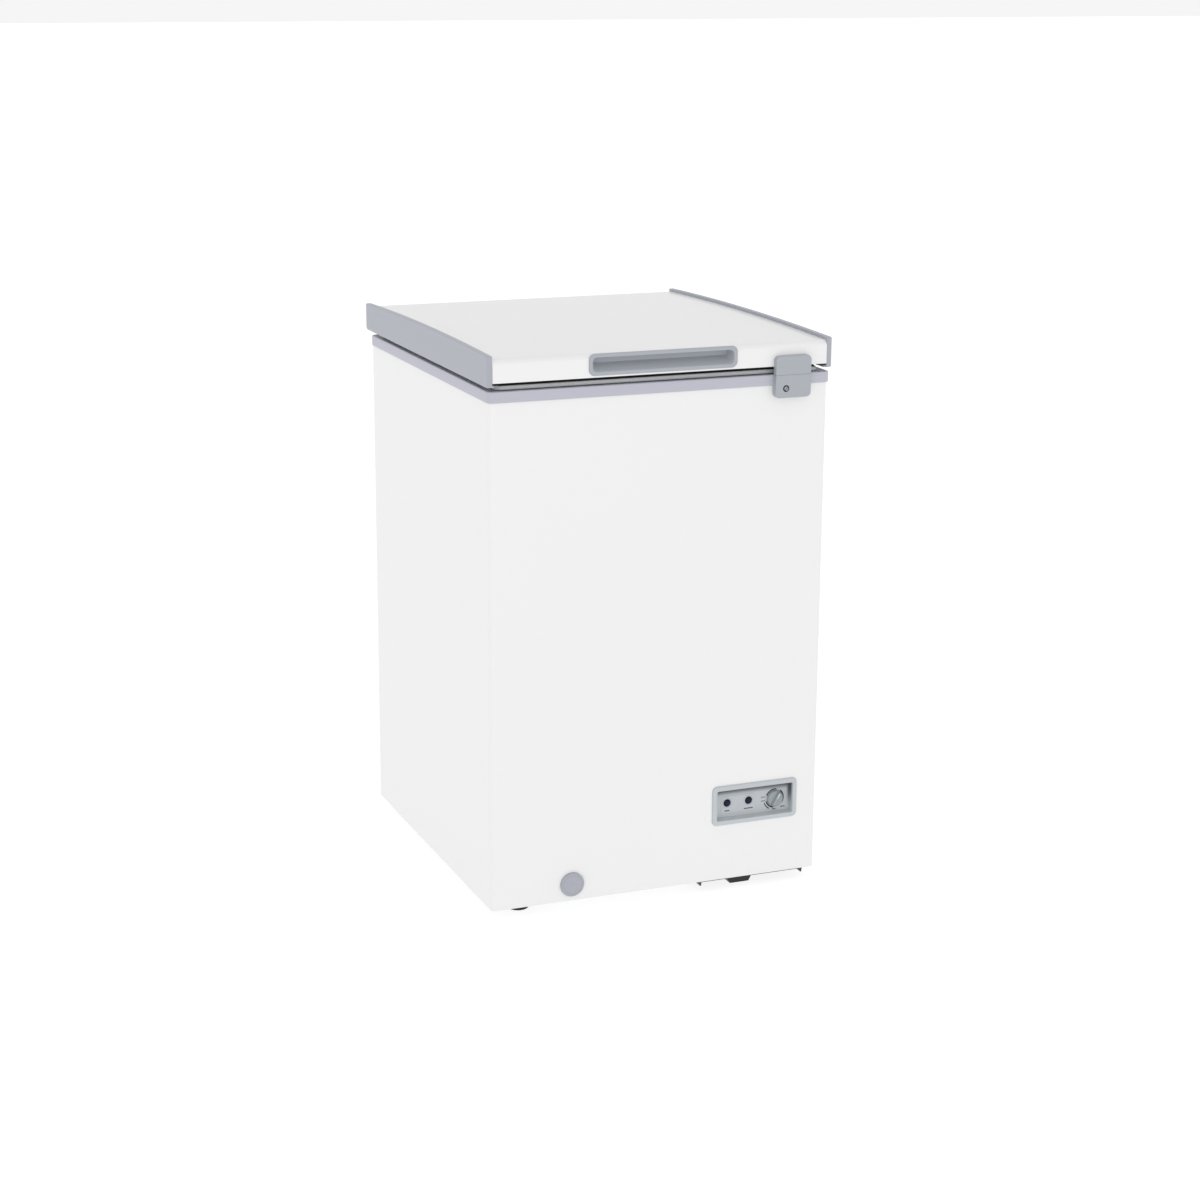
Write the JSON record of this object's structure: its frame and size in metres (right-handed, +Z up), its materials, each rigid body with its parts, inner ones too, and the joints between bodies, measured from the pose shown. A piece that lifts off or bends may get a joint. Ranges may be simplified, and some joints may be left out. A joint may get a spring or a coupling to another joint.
{
  "type": "chest freezer",
  "caption": "Small upright-box chest freezer with a hinged insulated lid, keyed lock, front dial panel, drain and hanging wire basket.",
  "frame": {"origin": "middle of the bounding box on the floor plane the feet stand on", "axes": "+X to the right of someone facing the front, +Y to the back, +Z up"},
  "size_m": [0.538, 0.5958, 0.85],
  "materials": {
    "white_paint": "gloss",
    "zinc_sheet": "satin",
    "black_paint": "satin",
    "grey_plastic": "satin",
    "dial_plastic": "satin",
    "dark_plastic": "matte",
    "white_plastic": "gloss",
    "foam": "matte",
    "seal_rubber": "matte",
    "black_rubber": "matte",
    "copper": "satin",
    "coated_steel": "satin",
    "lamp_lens": "gloss",
    "white_wire": "gloss"
  },
  "bodies": {
    "cabinet": {"outer_wrap": "white_paint", "rear_panel": "zinc_sheet", "bottom_plate": "zinc_sheet", "compartment_bulkhead": "zinc_sheet", "cabinet_foam": "foam", "inner_liner": "white_plastic", "collar_frame": "grey_plastic", "compressor_tray": "black_paint", "rubber_feet": "black_rubber", "compressor_foot_plate": "black_paint", "compressor_shell": "black_paint", "compressor_grommets": "black_rubber", "compressor_bolts": "coated_steel", "start_relay_cover": "dark_plastic", "filter_drier": "copper", "suction_tube": "copper", "discharge_tube": "copper", "evaporator_tube": "copper", "condenser_tube": "coated_steel", "rear_grille": "zinc_sheet", "cord_gland": "black_rubber", "grille_screws": "coated_steel", "drain_tube": "white_plastic", "control_bezel": "grey_plastic", "lamp_lens_left": "lamp_lens", "lamp_lens_right": "lamp_lens", "thermostat_body": "dark_plastic", "lock_housing": "grey_plastic", "hinge_base_left": "coated_steel", "hinge_base_right": "coated_steel", "hinge_pin_left": "coated_steel", "hinge_pin_right": "coated_steel", "hinge_spring_left": "coated_steel", "hinge_spring_right": "coated_steel", "hinge_base_screws": "coated_steel"},
    "lid": {"lid_outer_panel": "white_paint", "lid_cover_left": "grey_plastic", "lid_cover_right": "grey_plastic", "lid_foam": "foam", "lid_inner_panel": "white_plastic", "lid_gasket": "seal_rubber", "handle_insert": "grey_plastic", "lock_catch": "grey_plastic", "hinge_leaf_left": "coated_steel", "hinge_leaf_right": "coated_steel", "hinge_leaf_screws": "coated_steel"},
    "dial": {"thermostat_knob": "dial_plastic", "thermostat_shaft": "coated_steel"},
    "lock_cylinder": {"lock_barrel": "coated_steel", "lock_cam": "coated_steel"},
    "front_drain_cap": {"drain_cap": "grey_plastic"},
    "tub_drain_bung": {"drain_bung": "black_rubber"},
    "basket": {"wire_basket": "white_wire"}
  },
  "joints": [
    {"name": "lid_hinge", "type": "hinge", "parent": "cabinet", "child": "lid", "pos_m": [0, 0.2869, 0.8], "axis": [-1, 0, 0], "range_deg": [0, 80], "stiffness_Nm_per_rad": 3, "springref_deg": 120.32},
    {"name": "dial_turn", "type": "hinge", "parent": "cabinet", "child": "dial", "pos_m": [0.1995, -0.2761, 0.135], "axis": [0, 1, 0], "range_deg": [-120, 150]},
    {"name": "lock_turn", "type": "hinge", "parent": "cabinet", "child": "lock_cylinder", "pos_m": [0.1915, -0.2971, 0.776], "axis": [0, 1, 0], "range_deg": [0, 90]},
    {"name": "drain_cap_pull", "type": "slide", "parent": "cabinet", "child": "front_drain_cap", "axis": [0, -1, 0], "range_m": [0, 0.03]},
    {"name": "bung_lift", "type": "slide", "parent": "cabinet", "child": "tub_drain_bung", "axis": [0, 0, 1], "range_m": [0, 0.05]},
    {"name": "basket_slide", "type": "slide", "parent": "cabinet", "child": "basket", "axis": [-1, 0, 0], "range_m": [0, 0.19]}
  ]
}
